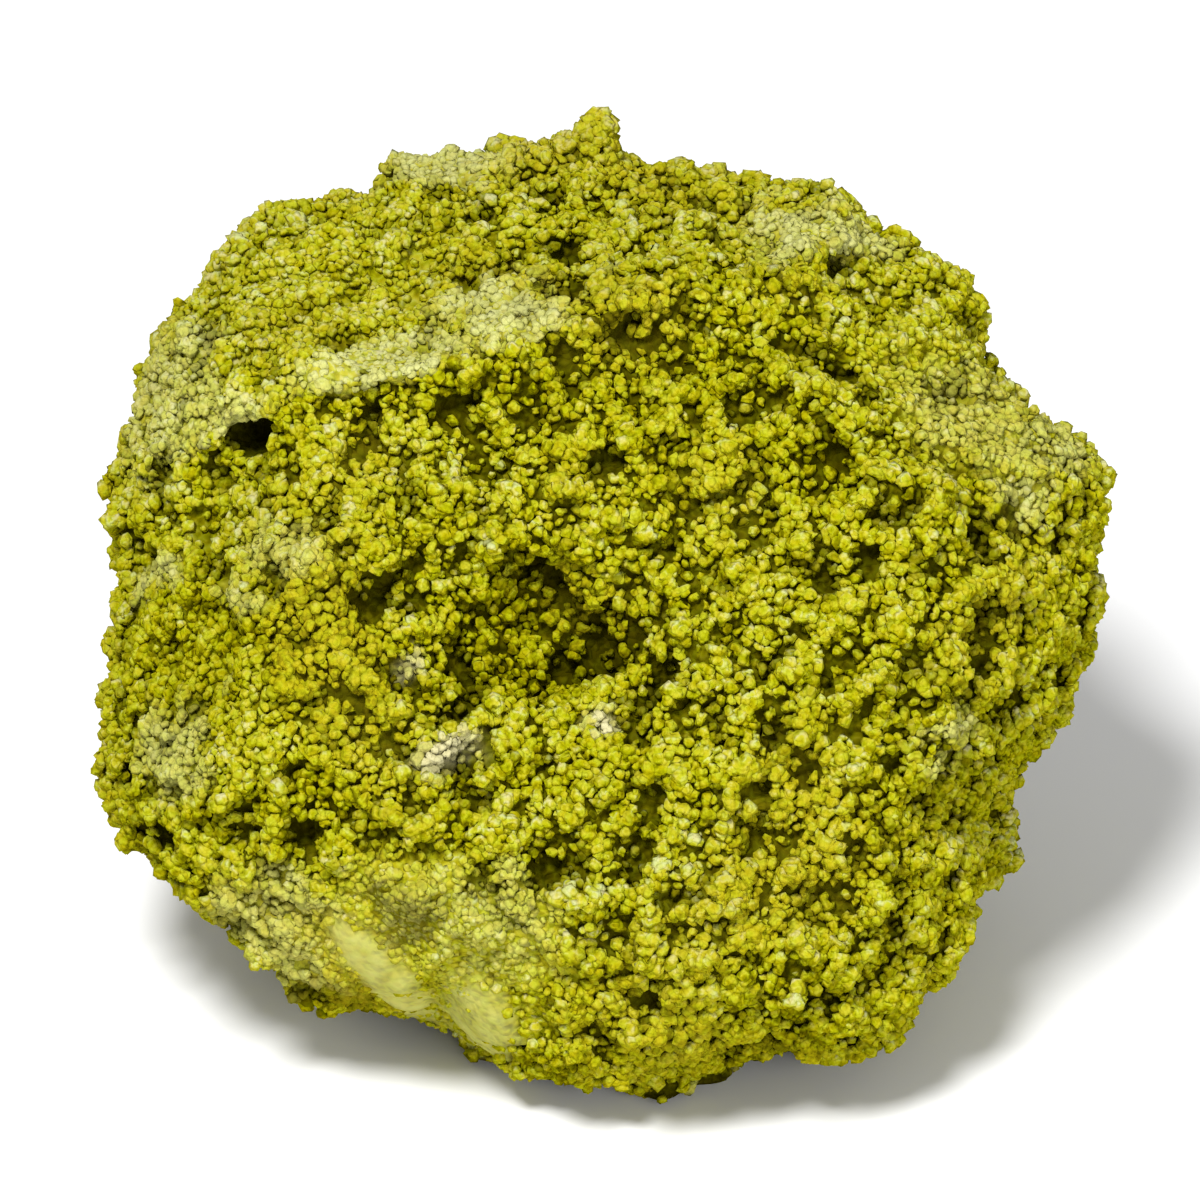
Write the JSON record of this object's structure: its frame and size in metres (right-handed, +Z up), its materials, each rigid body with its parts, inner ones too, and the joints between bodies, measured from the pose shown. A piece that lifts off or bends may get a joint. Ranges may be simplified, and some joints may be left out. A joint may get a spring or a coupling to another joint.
{
  "type": "nontronite specimen",
  "caption": "Rounded hand-size lump of porous granular yellow-green clay mineral that rests on one flat broken face.",
  "frame": {"origin": "middle of the bounding box, on the plane of the flat resting face below the lump", "axes": "+X to the right along the longest extent, -Y towards someone facing the display side, +Z up, out of the resting face's back"},
  "size_m": [0.0852, 0.0746, 0.0688],
  "materials": {
    "nontronite_clay": "dull, earthy and granular"
  },
  "bodies": {
    "root": {"nontronite_mass": "nontronite_clay"}
  },
  "joints": []
}
